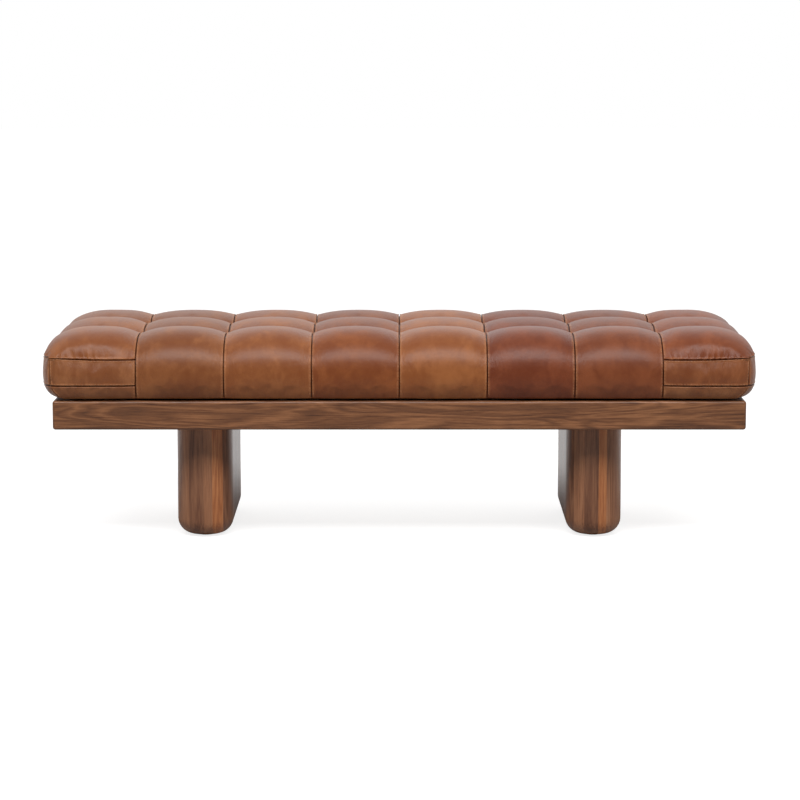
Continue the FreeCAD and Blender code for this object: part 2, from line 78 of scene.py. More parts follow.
class Nodes:
    def __init__(self, name):
        self.material = bpy.data.materials.new(name)
        self.material.use_nodes = True
        self.tree = self.material.node_tree
        self.shader = self.tree.nodes["Principled BSDF"]
        self.place = self.add("TexCoord").outputs["Object"]

    def add(self, kind, **settings):
        node = self.tree.nodes.new("ShaderNode" + kind)
        for key, value in settings.items():
            setattr(node, key, value)
        return node

    def join(self, source, target):
        self.tree.links.new(source, target)

    def give(self, value, socket):
        if isinstance(value, (int, float, tuple)):
            socket.default_value = value
        else:
            self.join(value, socket)

    def mapped(self, scale, shift=(0, 0, 0), turn=(0, 0, 0), source=None):
        node = self.add("Mapping")
        node.inputs["Scale"].default_value = scale
        node.inputs["Location"].default_value = shift
        node.inputs["Rotation"].default_value = turn
        self.join(source or self.place, node.inputs["Vector"])
        return node.outputs[0]

    def noise(self, source, scale, detail=4, rough=0.5, warp=0):
        node = self.add("TexNoise")
        node.inputs["Scale"].default_value = scale
        node.inputs["Detail"].default_value = detail
        node.inputs["Roughness"].default_value = rough
        node.inputs["Distortion"].default_value = warp
        self.join(source, node.inputs["Vector"])
        return node.outputs["Fac"]

    def ramp(self, source, stops):
        node = self.add("ValToRGB")
        marks = node.color_ramp.elements
        while len(marks) < len(stops):
            marks.new(0.5)
        for mark, (place, colour) in zip(marks, stops):
            mark.position = place
            mark.color = colour
        self.join(source, node.inputs["Fac"])
        return node.outputs["Color"]

    def math(self, operation, first, second):
        node = self.add("Math", operation=operation)
        for socket, value in zip(node.inputs, (first, second)):
            self.give(value, socket)
        return node.outputs[0]

    def weighted(self, *pairs):
        total = None
        for source, weight in pairs:
            part = self.math("MULTIPLY", source, weight)
            total = self.math("ADD", total, part) if total else part
        return total

    def range(self, source, low, high, newLow, newHigh):
        node = self.add("MapRange")
        for socket, value in zip(node.inputs[1:5], (low, high, newLow, newHigh)):
            socket.default_value = value
        self.join(source, node.inputs[0])
        return node.outputs[0]

    def blend(self, kind, factor, first, second):
        node = self.add("Mix", data_type="RGBA", blend_type=kind)
        for place, value in ((0, factor), (6, first), (7, second)):
            self.give(value, node.inputs[place])
        return node.outputs[2]

    def bump(self, height, strength, distance, under=None):
        node = self.add("Bump")
        node.inputs["Strength"].default_value = strength
        node.inputs["Distance"].default_value = distance
        self.join(height, node.inputs["Height"])
        if under:
            self.join(under, node.inputs["Normal"])
        return node.outputs[0]

    def finish(self, colour, rough, normal=None):
        self.give(colour, self.shader.inputs["Base Color"])
        self.give(rough, self.shader.inputs["Roughness"])
        if normal:
            self.join(normal, self.shader.inputs["Normal"])
        return self.material


# wood: fine fibres drawn out along the grain, wild growth bands and dark streaks
wood = {
    "figure": ((0.8, 9, 9), 2.6, 3, 0.5, 0.9),      # stretch, scale, detail, roughness, warp
    "lines": ((1.8, 100, 100), 5, 5, 0.66, 0.3),
    "fibres": ((7, 190, 190), 5, 5, 0.62, 0),
    "pores": ((16, 480, 480), 4, 3, 0.6, 0),
    "patches": ((1.5, 10, 10), 2.2, 2, 0.5, 0),
    "rings": 16,
    "stops": (0.36, 0.52, 0.72),
    "seedShift": (1.37, 0.71, 2.13),
    "poreTone": (0.5, 0.42, 0.36, 1),
    "shine": 0.4,
}
turns = {"x": (0, 0, 0), "y": (0, 0, math.pi / 2), "z": (0, math.pi / 2, 0)}


def woodMaterial(name, tones, along, seed, bands=1.0, streaks=0.8):
    make = Nodes(name)
    shift = tuple(seed * part for part in wood["seedShift"])
    shifted = make.mapped((1, 1, 1), shift=shift, source=make.mapped((1, 1, 1), turn=turns[along]))

    def drawn(layer):
        stretch, *settings = wood[layer]
        return make.noise(make.mapped(stretch, source=shifted), *settings)

    rings = make.math("PINGPONG", make.math("MULTIPLY", drawn("figure"), wood["rings"] * bands), 1)
    lines, fibres, pores = drawn("lines"), drawn("fibres"), drawn("pores")
    level = make.weighted((rings, 0.17), (fibres, 0.38), (drawn("patches"), 0.22), (lines, 0.32))
    colour = make.ramp(level, list(zip(wood["stops"], tones)))
    colour = make.blend("MULTIPLY", make.range(lines, 0.36, 0.46, streaks, 0), colour, tones[3])
    colour = make.blend("MULTIPLY", make.range(pores, 0.3, 0.42, 0.4, 0), colour, wood["poreTone"])
    make.shader.inputs["Specular IOR Level"].default_value = wood["shine"]
    normal = make.bump(make.math("ADD", fibres, pores), 0.3, 0.0005)
    return make.finish(colour, make.range(fibres, 0.3, 0.7, 0.3, 0.42), normal)


deckTones = (linear(70, 41, 25), linear(110, 69, 42), linear(148, 99, 64), (0.5, 0.41, 0.37, 1))
staveTones = {
    "wood_stave_brown": (linear(96, 60, 40), linear(136, 90, 62), linear(160, 112, 80),
                         (0.62, 0.55, 0.5, 1)),
    "wood_stave_dark": (linear(78, 46, 30), linear(112, 72, 50), linear(140, 96, 68), (0.6, 0.52, 0.48, 1)),
    "wood_stave_orange": (linear(118, 68, 38), linear(158, 96, 56), linear(184, 124, 80),
                          (0.65, 0.55, 0.46, 1)),
}
boardTones = (linear(150, 118, 82), linear(186, 152, 110), linear(206, 176, 134), (0.85, 0.8, 0.75, 1))


def plainMaterial(name, colour, rough, grain, metal=0.0, depth=0.0004):
    make = Nodes(name)
    speck = make.noise(make.mapped((1, 1, 1)), grain, 4, 0.6)
    tint = make.blend("MULTIPLY", make.range(speck, 0.35, 0.65, 0, 0.5), colour, (0.7, 0.7, 0.7, 1))
    make.shader.inputs["Metallic"].default_value = metal
    roughness = make.range(speck, 0.3, 0.7, rough - 0.06, rough + 0.06)
    return make.finish(tint, roughness, make.bump(speck, 0.3, depth))


slotOf = {item["node"]: item["material_slot"] for item in frame["record"]["subparts"]}


def dress(node, material):
    piece = frame["nodes"][node]
    for slot in piece.material_slots:
        slot.material = material
    if not piece.material_slots:
        piece.data.materials.append(material)


for index, name in enumerate(("front_rail", "back_rail")):
    dress(name, woodMaterial(name + "Wood", deckTones, "x", 1 + index))
for index, name in enumerate(("left_end_rail", "right_end_rail")):
    dress(name, woodMaterial(name + "Wood", deckTones, "y", 3 + index))
staveSeed = 10
for name, slot in slotOf.items():
    if "stave" in name:
        staveSeed += 1
        dress(name, woodMaterial(name + "Wood", staveTones[slot], "z", staveSeed, bands=0.6, streaks=0.5))
plyWood = woodMaterial("plyWood", boardTones, "x", 31, streaks=0.1)
softWood = woodMaterial("softWood", boardTones, "y", 32, streaks=0.1)
plain = {
    "wood_panel": plyWood,
    "wood_carcass": softWood,
    "steel": plainMaterial("zincSteel", (0.6, 0.6, 0.62, 1), 0.34, 900, 1.0, 0.0001),
    "glide_plastic": plainMaterial("glideNylon", (0.02, 0.017, 0.015, 1), 0.5, 700),
    "tape": plainMaterial("hookTape", (0.012, 0.012, 0.013, 1), 0.85, 1500, 0.0, 0.0008),
    "fibre": plainMaterial("calico", (0.78, 0.76, 0.7, 1), 0.9, 900, 0.0, 0.0008),
    "foam": plainMaterial("foam", (0.72, 0.66, 0.42, 1), 0.92, 600, 0.0, 0.0008),
    "twine": plainMaterial("twine", (0.5, 0.4, 0.26, 1), 0.8, 1200),
}
for name, slot in slotOf.items():
    if slot in plain:
        dress(name, plain[slot])
print("frame dressed")

# cushion cover: 8 by 3 stuffed cells, waterfall fronts in the middle and boxed corners at the ends
cover = {
    "low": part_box("bottom_panel")[0].z,
    "crest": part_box("middle_cell_4")[1].z,
    "footDepth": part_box("bottom_panel")[1].y,
    "side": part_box("front_cell_4")[0].y * -1,
    "row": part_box("middle_cell_4")[1].y,
    "lastSeam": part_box("middle_cell_8")[0].x,
    "pitch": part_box("middle_cell_5")[1].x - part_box("middle_cell_5")[0].x,
    "bottomSeam": 0.0300,   # height above the cover's underside
    "widest": 0.0470,
    "topSeam": 0.0850,
    "topSeamRise": 0.004,
    "crestBack": 0.1125,    # from the face of the front back to its crest
    "crests": (0.0004, 0.0004, -0.0026),    # front, middle and back row, beside the mean crest
    "seamDrops": (0.0165, 0.0145, 0.0105),
    "rowDrop": 0.0195,
    "crossingDrop": 0.015,
    "sideDraw": 0.0085,
    "fullPower": 2.4,
    "rowPower": 2.1,
    "round": 2.35,
    "endRound": 2.0,
    "endReach": 0.1055,
    "cornerDraw": (0.014, 0.010),
    "endFoot": (0.028, 0.034),  # how far the foot is tucked in at the corners and between them
    "endWidest": 0.7585,
    "domePower": 2.2,
    "boxingDraw": 0.004,    # how far the boxing of an end cell falls back at its top seam
    "domeLip": 0.001,
    "footRise": 0.036,
    "endLean": 0.004,
    "rowDraw": (0.003, 0.03),   # how far the end seam is drawn in at a row seam, and over what run
    "gatherRun": 0.06,
    "seamLines": (0.0013, 0.0033, 0.0056),
    "mesh": 0.0062,
}
cellMiddle = cover["lastSeam"] + cover["pitch"] / 2
bottomSeamZ = cover["low"] + cover["bottomSeam"]
widestZ = cover["low"] + cover["widest"]
topSeamZ = cover["low"] + cover["topSeam"]


def curvePower(ratio, power):
    return abs(ratio) ** (2 / power)


# points at given shares of a curve's length
def resample(points, shares):
    lengths = [0]
    for first, second in zip(points, points[1:]):
        lengths.append(lengths[-1] + (second - first).length)
    result = []
    spot = 0
    for wanted in shares:
        goal = wanted * lengths[-1]
        while spot < len(points) - 2 and lengths[spot + 1] < goal:
            spot += 1
        gap = lengths[spot + 1] - lengths[spot]
        share = min(1, (goal - lengths[spot]) / gap) if gap else 0
        result.append(points[spot].lerp(points[spot + 1], share))
    return result


# even stations over a length, with closer ones beside a seam
def stations(length, seamStart, seamEnd):
    first = (0,) + cover["seamLines"] if seamStart else (0,)
    last = (0,) + cover["seamLines"] if seamEnd else (0,)
    space = length - first[-1] - last[-1]
    count = max(1, round(space / cover["mesh"]))
    middle = [first[-1] + space * step / count for step in range(1, count)]
    places = list(first) + middle + [length - value for value in reversed(last)]
    return [value / length for value in places]


def cutAt(points, height):
    for spot in range(1, len(points)):
        if points[spot].z >= height:
            first, second = points[spot - 1], points[spot]
            cut = first.lerp(second, (height - first.z) / max(1e-9, second.z - first.z))
            return points[:spot] + [cut], [cut] + points[spot:]
    return points, [points[-1]]


arcSteps = 60
fallSteps = 40
outerSteps = 120


# front or back half of a section: strip, boxing, rise to the crest, fall to the row seam
def halfCurves(full, row):
    empty = 1 - full
    side = cover["side"] - cover["sideDraw"] * empty
    crest = cover["crest"] + cover["crests"][row] - cover["seamDrops"][row] * empty
    dip = rowDip(full)
    lower = []
    upper = []
    for step in range(arcSteps + 1):
        turn = math.pi / 2 * step / arcSteps
        lower.append(Vector((0, cover["footDepth"] + (side - cover["footDepth"]) * math.sin(turn),
                             widestZ - (widestZ - cover["low"]) * math.cos(turn))))
        out = curvePower(math.cos(turn), cover["round"])
        rise = curvePower(math.sin(turn), cover["round"])
        upper.append(Vector((0, side - cover["crestBack"] * (1 - out), widestZ + (crest - widestZ) * rise)))
    strip, rest = cutAt(lower + upper[1:], bottomSeamZ)
    boxing, rise = cutAt(rest, topSeamZ)
    back = side - cover["crestBack"]
    fall = []
    for step in range(fallSteps + 1):
        share = step / fallSteps
        height = crest - (crest - dip) * share ** cover["rowPower"]
        fall.append(Vector((0, mix(back, cover["row"], share), height)))
    return strip, boxing, rise, fall


def rowDip(full):
    return cover["crest"] - cover["rowDrop"] - cover["crossingDrop"] * (1 - full)


# the same for the boxed end cells, whose top is a dome above the top seam
def domeCurves(row):
    strip, boxing, rise, fall = halfCurves(1, row)
    draw = cover["boxingDraw"]
    boxing = [Vector((0, p.y - draw * smooth(widestZ, topSeamZ, p.z), p.z)) for p in boxing]
    front = boxing[-1].y + cover["domeLip"]
    back = cover["side"] - cover["crestBack"]
    crest = fall[0].z
    rise = []
    for step in range(arcSteps + 1):
        turn = math.pi / 2 * step / arcSteps
        out = curvePower(math.cos(turn), cover["domePower"])
        high = curvePower(math.sin(turn), cover["domePower"])
        rise.append(Vector((0, back + (front - back) * out, topSeamZ + (crest - topSeamZ) * high)))
    boxing[-1] = rise[0].copy()
    return strip, boxing, rise, fall


def curveLength(points):
    return sum((second - first).length for first, second in zip(points, points[1:]))


middleCurves = halfCurves(1, 0)
stripShares = stations(curveLength(middleCurves[0]), False, True)
boxingShares = stations(curveLength(middleCurves[1]), True, True)
riseShares = stations(curveLength(middleCurves[2]), True, False)
fallShares = stations(curveLength(middleCurves[3]), False, True)
rowShares = stations(2 * cover["row"], True, True)
halfCount = len(stripShares) + len(boxingShares) + len(riseShares) + len(fallShares) - 3
topStart = len(stripShares) + len(boxingShares) - 2
seamStart = len(stripShares) - 1
alongCount = 2 * halfCount + len(rowShares) - 2
print("stations along", alongCount, "half", halfCount, "seam", seamStart, "top", topStart)


# all stations of a section from the front foot over the top to the back foot
def wholeSection(full, makeHalf):
    halves = []
    for row in (0, 2):
        strip, boxing, rise, fall = makeHalf(row)
        half = resample(strip, stripShares) + resample(boxing, boxingShares)[1:]
        halves.append(half + resample(rise, riseShares)[1:] + resample(fall, fallShares)[1:])
    crest = cover["crest"] + cover["crests"][1] - cover["seamDrops"][1] * (1 - full)
    dip = rowDip(full)
    middle = []
    for share in rowShares[1:-1]:
        rise = 1 - abs(2 * share - 1) ** cover["rowPower"]
        middle.append(Vector((0, cover["row"] * (1 - 2 * share), dip + (crest - dip) * rise)))
    back = [Vector((0, -p.y, p.z)) for p in reversed(halves[1])]
    return [Vector((0, -p.y, p.z)) for p in halves[0] + middle + back]


domeSection = wholeSection(1, domeCurves)
outerArc = []
for step in range(outerSteps + 1):
    turn = math.pi / 2 * step / outerSteps
    out = cover["endReach"] * curvePower(math.sin(turn), cover["endRound"])
    high = (cover["crest"] - topSeamZ) * curvePower(math.cos(turn), cover["endRound"])
    outerArc.append(Vector((out, turn, high)))
outerLengths = [0]
for first, second in zip(outerArc, outerArc[1:]):
    outerLengths.append(outerLengths[-1] + math.hypot(second.x - first.x, second.z - first.z))
outerLength = outerLengths[-1]


def outerTurn(share):
    goal = share * outerLength
    for spot in range(1, len(outerLengths)):
        if outerLengths[spot] >= goal:
            gap = (goal - outerLengths[spot - 1]) / (outerLengths[spot] - outerLengths[spot - 1])
            return mix(outerArc[spot - 1].y, outerArc[spot].y, gap)
    return math.pi / 2


# section of the right end cell beyond its middle, to the corner seam and the end seam
def outerSection(share):
    turn = outerTurn(share)
    out = curvePower(math.sin(turn), cover["endRound"])
    keep = curvePower(max(0, math.cos(turn)), cover["endRound"])
    drawX, drawY = cover["cornerDraw"]
    rowDraw, rowRun = cover["rowDraw"]
    result = []
    for place, point in enumerate(domeSection):
        depth = abs(point.y)
        seamZ = topSeamZ + cover["topSeamRise"] * share
        inner = min(place, alongCount - 1 - place)
        if inner <= topStart:
            height = inner / topStart
            sink = min(1, (point.z - cover["low"]) / cover["footRise"])
            tuck = cover["endFoot"][0] * (1 - math.sin(math.pi / 2 * sink))
            edge = cellMiddle + cover["endReach"] - drawX - cover["endLean"] - tuck
            x = mix(cellMiddle, edge, share)
            y = depth - drawY * share ** 8 * smooth(0, 0.5, height)
            z = point.z + (seamZ - topSeamZ) * smooth(0.5, 1, height)
            x += cover["endLean"] * share * smooth(0.5, 1, height) ** 2
        else:
            front = smooth(cover["side"] - cover["crestBack"], cover["side"] - cover["boxingDraw"],
                           depth) ** 2
            drawn = rowDraw * (1 - min(1, abs(depth - cover["row"]) / rowRun))
            reach = cover["endReach"] - drawn - drawX * front ** 3
            x = cellMiddle + reach * mix(out, share, front)
            y = depth - drawY * share ** 8 * front
            z = seamZ + (point.z - topSeamZ) * keep
        result.append(Vector((x, math.copysign(y, point.y), z)))
    return result


def plainSection(full):
    return wholeSection(full, lambda row: halfCurves(full, row))


# stations from the middle seam to the right end: (section, gap to the nearest column seam, column)
rightSide = []
for column in range(3):
    for share in stations(cover["pitch"], True, True)[:-1]:
        x = (column + share) * cover["pitch"]
        section = plainSection(1 - abs(2 * share - 1) ** cover["fullPower"])
        gap = min(share, 1 - share) * cover["pitch"]
        rightSide.append([[Vector((x, p.y, p.z)) for p in section], gap, column + 5])
endLength = cover["pitch"] / 2 + outerLength
for share in stations(endLength, True, True):
    distance = share * endLength
    gap = min(distance, endLength - distance)
    if distance < cover["pitch"] / 2:
        u = distance / cover["pitch"]
        plainPart = plainSection(1 - abs(2 * u - 1) ** cover["fullPower"])
        lean = smooth(0, 1, 2 * u)
        section = [Vector((cover["lastSeam"] + distance, mix(p.y, q.y, lean), mix(p.z, q.z, lean)))
                   for p, q in zip(plainPart, domeSection)]
    else:
        section = outerSection((distance - cover["pitch"] / 2) / outerLength)
    rightSide.append([section, gap, 8])
print("stations across half", len(rightSide))

# mirror the half to the left, so that the stations run from the left end to the right end
sheet = []
for section, gap, column in reversed(rightSide[1:]):
    sheet.append([[Vector((-p.x, p.y, p.z)) for p in section], gap, 9 - column])
sheet += rightSide
acrossCount = len(sheet)
footZ = cover["low"]


# places of the seams along a section, and the distance to the nearest of a few lines
alongLength = [0]
for first, second in zip(domeSection, domeSection[1:]):
    alongLength.append(alongLength[-1] + (second - first).length)
rowLines = [alongLength[halfCount - 1], alongLength[alongCount - halfCount]]
topLines = [alongLength[topStart], alongLength[alongCount - 1 - topStart]]
bottomLines = [alongLength[seamStart], alongLength[alongCount - 1 - seamStart]]


def nearest(value, lines):
    return min(abs(value - line) for line in lines)


cushionMesh = bmesh.new()
gapLayer = cushionMesh.verts.layers.float.new("seamGap")
puckerLayer = cushionMesh.verts.layers.float.new("puckerGap")
pinLayer = cushionMesh.verts.layers.float.new("pinned")
panelLayer = cushionMesh.faces.layers.int.new("panel")
uvLayer = cushionMesh.loops.layers.uv.new("surface")


def gridPiece(nx, ny):
    made = bmesh.ops.create_grid(cushionMesh, x_segments=nx - 1, y_segments=ny - 1, size=0.5)["verts"]
    index = {}
    for vert in made:
        index[(round((vert.co.x + 0.5) * (nx - 1)), round((vert.co.y + 0.5) * (ny - 1)))] = vert
    return index


mainGrid = gridPiece(acrossCount, alongCount)
isEnd = [column in (1, 8) for section, gap, column in sheet]
acrossLength = [0]
for first, second in zip(sheet, sheet[1:]):
    acrossLength.append(acrossLength[-1] + (second[0][alongCount // 2] - first[0][alongCount // 2]).length)
for (i, j), vert in mainGrid.items():
    section, gap, column = sheet[i]
    vert.co = section[j]
    along = alongLength[j]
    gaps = [gap, nearest(along, rowLines)]
    pucker = 1
    if isEnd[i]:
        gaps += [nearest(along, topLines), nearest(along, bottomLines)]
        above = along - topLines[0] if along < alongLength[-1] / 2 else topLines[1] - along
        pucker = above if above >= 0 else 1
        edge = min(i, acrossCount - 1 - i)
        if above > 0 and edge * cover["mesh"] < cover["gatherRun"]:
            pucker = min(pucker, gap)
    vert[gapLayer] = min(gaps)
    vert[puckerLayer] = pucker
    vert[pinLayer] = 1 if min(gaps) < 1e-6 or section[j].z < footZ + 0.004 else 0

# panels: 1 to 24 the cells, 25 to 28 the boxings, 29 and 30 the ends, 31 the underside
def fillFace(grid, i, j, panel, uvOf):
    spots = {grid[spot]: spot for spot in ((i, j), (i + 1, j), (i + 1, j + 1), (i, j + 1))}
    face = cushionMesh.faces.get(list(spots))
    face[panelLayer] = panel
    for loop in face.loops:
        loop[uvLayer].uv = uvOf(*spots[loop.vert])


for i in range(acrossCount - 1):
    column = max(sheet[i][2], sheet[i + 1][2])
    for j in range(alongCount - 1):
        row = 0 if j < halfCount - 1 else (1 if j < alongCount - halfCount else 2)
        panel = 1 + row * 8 + column - 1
        inner = min(j, alongCount - 2 - j)
        if column in (1, 8) and inner < topStart:
            panel = (25 if column == 1 else 26) + (2 if row else 0)
            if inner < seamStart:
                panel = 31
        fillFace(mainGrid, i, j, panel, lambda u, v: (acrossLength[u], alongLength[v]))
print("main sheet", len(mainGrid))


# lines of vertices that carry top stitching, two stations beside a seam
heightCount = topStart + 1
endCount = alongCount - 2 * topStart
stitchLines = []
columnSeams = [i for i in range(1, acrossCount - 1) if sheet[i][1] < 1e-6]
for i in columnSeams:
    for beside in (i - 2, i + 2):
        stitchLines.append([mainGrid[(beside, j)] for j in range(3, alongCount - 3)])
for j in (halfCount - 1, alongCount - halfCount):
    for beside in (j - 2, j + 2):
        stitchLines.append([mainGrid[(i, beside)] for i in range(2, acrossCount - 2)])
for first, last in ((2, columnSeams[0] - 2), (columnSeams[-1] + 2, acrossCount - 3)):
    for j in (seamStart + 2, topStart - 2, alongCount + 1 - topStart, alongCount - 3 - seamStart):
        stitchLines.append([mainGrid[(i, j)] for i in range(first, last + 1)])
for i in (2, acrossCount - 3):
    for first, last in ((3, topStart - 1), (alongCount - topStart, alongCount - 4)):
        stitchLines.append([mainGrid[(i, j)] for j in range(first, last + 1)])

# end panels: from the front corner seam to the back one, under the end's top seam
endSet = {"footPower": 2.3, "swellPower": 12, "uvShift": 3}
topLength = alongLength[alongCount - 1 - topStart] - alongLength[topStart]
for side in (0, acrossCount - 1):
    sign = -1 if side == 0 else 1
    grid = gridPiece(endCount, heightCount)
    section = sheet[side][0]
    frontSeam = section[:heightCount]
    backSeam = list(reversed(section[-heightCount:]))
    topSeam = section[topStart:alongCount - topStart]
    for (i, j), vert in grid.items():
        share = (alongLength[topStart + i] - alongLength[topStart]) / topLength
        corner = frontSeam[j].lerp(backSeam[j], share)
        top = topSeam[0].lerp(topSeam[-1], share)
        high = (corner.z - footZ) / (top.z - footZ)
        height = footZ + (topSeam[i].z - footZ) * high
        if corner.z < widestZ:
            sink = min(1, (widestZ - corner.z) / (widestZ - footZ))
            tuck = 1 - (1 - sink ** endSet["footPower"]) ** (1 / endSet["footPower"])
            reach = cover["endWidest"] - cover["endFoot"][1] * tuck
        else:
            lift = (corner.z - widestZ) / (top.z - widestZ)
            reach = mix(cover["endWidest"], abs(topSeam[i].x), lift ** 2)
        bulge = 1 - abs(2 * share - 1) ** endSet["swellPower"]
        point = Vector((mix(corner.x, sign * reach, bulge), mix(corner.y, topSeam[i].y, high ** 2), height))
        if i == 0:
            point = frontSeam[j]
        elif i == endCount - 1:
            point = backSeam[j]
        elif j == heightCount - 1:
            point = topSeam[i]
        vert.co = point
        edgeGap = min(share, 1 - share) * topLength
        topGap = alongLength[topStart] - alongLength[j]
        gap = min(edgeGap, topGap, abs(alongLength[j] - alongLength[seamStart]))
        vert[gapLayer] = gap
        vert[puckerLayer] = 1
        vert[pinLayer] = 1 if gap < 1e-6 or j == 0 else 0
    for i in range(endCount - 1):
        for j in range(heightCount - 1):
            panel = 31 if j < seamStart else (29 if sign < 0 else 30)
            fillFace(grid, i, j, panel,
                     lambda u, v: (endSet["uvShift"] + alongLength[topStart + u], alongLength[v]))
    for j in (seamStart + 2, heightCount - 3):
        stitchLines.append([grid[(i, j)] for i in range(2, endCount - 2)])
    for i in (2, endCount - 3):
        stitchLines.append([grid[(i, j)] for j in range(3, heightCount - 2)])

bmesh.ops.remove_doubles(cushionMesh, verts=cushionMesh.verts, dist=0.00005)
rim = [edge for edge in cushionMesh.edges if edge.is_boundary]
print("cushion rim", len(rim), "verts", len(cushionMesh.verts))
underside = bmesh.ops.contextual_create(cushionMesh, geom=rim)["faces"]
bmesh.ops.triangulate(cushionMesh, faces=underside, ngon_method="BEAUTY")
bmesh.ops.recalc_face_normals(cushionMesh, faces=cushionMesh.faces)
for face in cushionMesh.faces:
    face.smooth = True
    if face[panelLayer] == 0:
        face[panelLayer] = 31
for vert in cushionMesh.verts:
    if vert.co.z < footZ + 0.001:
        vert[pinLayer] = 1
        vert[puckerLayer] = 1
cushionMesh.verts.index_update()
stitchPaths = [[vert.index for vert in line if vert.is_valid] for line in stitchLines]
cushionData = bpy.data.meshes.new("tufted_cushion")
cushionMesh.to_mesh(cushionData)
cushionMesh.free()
cushion = bpy.data.objects.new("tufted_cushion", cushionData)
scene.collection.objects.link(cushion)
print("cushion", len(cushionData.vertices))

# stuffing: the cover swells against its pinned seams, and each point moves only a little
swellSet = {"pressure": 5, "frames": 20, "cap": 0.0020, "spare": -0.012, "quality": 4, "mass": 0.4,
            "tension": 25, "shear": 12, "bending": 2.5}


def swell(piece):
    pins = piece.data.attributes["pinned"].data
    group = piece.vertex_groups.new(name="seams")
    group.add([index for index, pin in enumerate(pins) if pin.value > 0.5], 1, "REPLACE")
    before = [vert.co.copy() for vert in piece.data.vertices]
    cloth = piece.modifiers.new("cloth", "CLOTH")
    cloth.settings.vertex_group_mass = "seams"
    cloth.settings.use_pressure = True
    cloth.settings.uniform_pressure_force = swellSet["pressure"]
    cloth.settings.effector_weights.gravity = 0
    cloth.settings.shrink_min = swellSet["spare"]
    cloth.settings.quality = swellSet["quality"]
    cloth.settings.mass = swellSet["mass"]
    cloth.settings.tension_stiffness = swellSet["tension"]
    cloth.settings.compression_stiffness = swellSet["tension"]
    cloth.settings.shear_stiffness = swellSet["shear"]
    cloth.settings.bending_stiffness = swellSet["bending"]
    cloth.point_cache.frame_start = 1
    cloth.point_cache.frame_end = swellSet["frames"]
    for step in range(1, swellSet["frames"] + 1):
        scene.frame_set(step)
    swollen = piece.evaluated_get(bpy.context.evaluated_depsgraph_get()).data
    after = [vert.co.copy() for vert in swollen.vertices]
    piece.modifiers.remove(cloth)
    scene.frame_set(1)
    most = 0
    for vert, old, new in zip(piece.data.vertices, before, after):
        move = new - old
        most = max(most, move.length)
        share = move.length / swellSet["cap"]
        vert.co = old + move * (math.tanh(share) / share if share > 1e-6 else 1)
    piece.vertex_groups.remove(group)
    print("swollen, farthest move", round(most, 4))


swell(cushion)

# one subdivision, then seam grooves with raised lips and the gathers above the end cells' top seam
finer = cushion.modifiers.new("finer", "SUBSURF")
finer.levels = 1
finer.render_levels = 1
evaluated = cushion.evaluated_get(bpy.context.evaluated_depsgraph_get())
fineData = bpy.data.meshes.new_from_object(evaluated)
cushion.modifiers.remove(finer)
cushion.data = fineData
fineData.name = "tufted_cushion"
seam = {"depth": 0.0030, "width": 0.0012, "lip": 0.0011, "lipAt": 0.0030, "lipWidth": 0.0018,
        "stitchDepth": 0.0004, "stitchAt": 0.0042, "stitchWidth": 0.0007, "reach": 0.012,
        "pucker": 0.0026, "puckerRun": 0.012, "puckerEnd": 0.05, "wave": 0.014, "front": 0.26, "scatter": 22}
seamGaps = [item.value for item in fineData.attributes["seamGap"].data]
puckerGaps = [item.value for item in fineData.attributes["puckerGap"].data]
normals = [vert.normal.copy() for vert in fineData.vertices]
moved = []
for vert, normal, gap, pucker in zip(fineData.vertices, normals, seamGaps, puckerGaps):
    move = 0
    if gap < seam["reach"] and vert.co.z > footZ + 0.004:
        move -= seam["depth"] * math.exp(-(gap / seam["width"]) ** 2)
        move += seam["lip"] * math.exp(-((gap - seam["lipAt"]) / seam["lipWidth"]) ** 2)
        move -= seam["stitchDepth"] * math.exp(-((gap - seam["stitchAt"]) / seam["stitchWidth"]) ** 2)
    if pucker < seam["puckerEnd"]:
        run = vert.co.x if abs(vert.co.y) > seam["front"] else vert.co.y
        spot = vert.co * seam["scatter"]
        wave = math.sin(2 * math.pi * run / seam["wave"] + 4 * noise.noise(spot))
        strong = 0.5 + noise.noise(spot * 0.8 + Vector((5, 1, 2)))
        fade = smooth(0, 0.004, pucker) * math.exp(-pucker / seam["puckerRun"])
        move += seam["pucker"] * fade * wave * max(0, strong)
    moved.extend(vert.co + normal * move)
fineData.vertices.foreach_set("co", moved)
fineData.update()
for polygon in fineData.polygons:
    polygon.use_smooth = True
print("cushion finished", len(fineData.vertices), len(fineData.polygons))

# a tone for every leather panel, and a shift so that no pattern runs across a seam
hides = {"tan": (126, 74, 38), "light": (136, 80, 40), "russet": (120, 64, 28), "chestnut": (114, 58, 28),
         "dark": (104, 50, 24), "faded": (130, 80, 46), "brown": (120, 68, 36)}
columnHides = ("tan", "tan", "tan", "russet", "light", "dark", "chestnut", "chestnut")
toneOf = {}
for panel in range(1, 32):
    if panel <= 24:
        base = hides[columnHides[(panel - 1) % 8]]
    else:
        base = hides["faded" if panel in (25, 27, 29, 31) else "brown"]
    change = 1 + 0.035 * math.sin(panel * 2.4)
    toneOf[panel] = linear(*(value * change for value in base))
panels = [item.value for item in fineData.attributes["panel"].data]
loopTones = []
for polygon, panel in zip(fineData.polygons, panels):
    loopTones.extend(toneOf[max(1, panel)] * polygon.loop_total)
fineData.attributes.new("tone", "FLOAT_COLOR", "CORNER")
fineData.attributes["tone"].data.foreach_set("color", loopTones)
fineData.attributes.new("panelShift", "FLOAT", "FACE")
fineData.attributes["panelShift"].data.foreach_set("value", [panel * 1.37 for panel in panels])
print("tones written")


